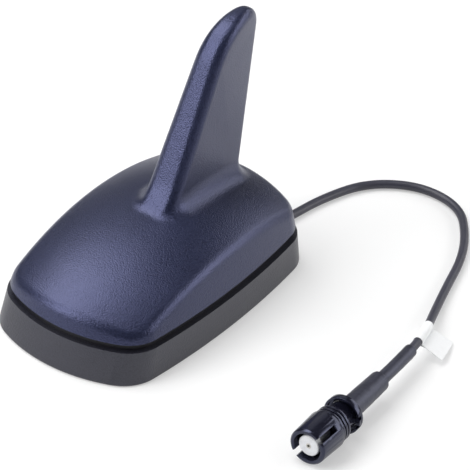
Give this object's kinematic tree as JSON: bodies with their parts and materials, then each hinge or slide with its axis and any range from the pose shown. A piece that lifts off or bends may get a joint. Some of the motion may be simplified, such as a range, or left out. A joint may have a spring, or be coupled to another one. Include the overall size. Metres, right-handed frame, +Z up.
{
  "type": "shark fin aerial",
  "caption": "Roof aerial with a low crowned cover, an upright raked fin, a rubber skirt, and a coaxial lead that ends in a slotted plug.",
  "frame": {"origin": "on the surface that the skirt stands on, at the middle of the skirt's foot, without the lead", "axes": "+Z is up, the low nose points to -Y and the fin's trailing edge to +Y; the lead leaves under the tail and comes round on +X"},
  "size_m": [0.1218, 0.1541, 0.085],
  "materials": {
    "cover": "fine grained, satin",
    "skirt_rubber": "matte",
    "tray": "matte",
    "seal_rubber": "matte",
    "brass": "turned",
    "screw_steel": "zinc plated",
    "board": "satin solder mask",
    "tinplate": "satin",
    "chip": "matte",
    "capacitor": "satin ceramic",
    "copper": "enamelled",
    "lead_jacket": "satin",
    "paper": "matte paper",
    "shrink_sleeve": "satin",
    "plug_plastic": "satin",
    "insulator": "satin",
    "contact": "plated"
  },
  "bodies": {
    "root": {"fin_cover": "cover", "base_gasket": "skirt_rubber", "base_plate": "tray", "cover_seal": "seal_rubber", "hub_seal": "seal_rubber", "mount_insert": "brass", "cover_screws": "screw_steel", "main_board": "board", "board_screws": "screw_steel", "shield_can": "tinplate", "amplifier_chip": "chip", "board_capacitors": "capacitor", "matching_coil": "copper", "fin_radiator": "board", "radiator_brackets": "tinplate", "coax_core": "copper", "ground_ferrule": "tinplate", "cable_boot": "seal_rubber", "coax_cable": "lead_jacket", "flag_label": "paper", "small_sleeve": "shrink_sleeve", "large_sleeve": "shrink_sleeve", "crimp_ferrule": "tinplate", "plug_shell": "plug_plastic", "plug_collar": "plug_plastic", "plug_insulator": "insulator", "plug_contact": "contact"}
  },
  "joints": []
}
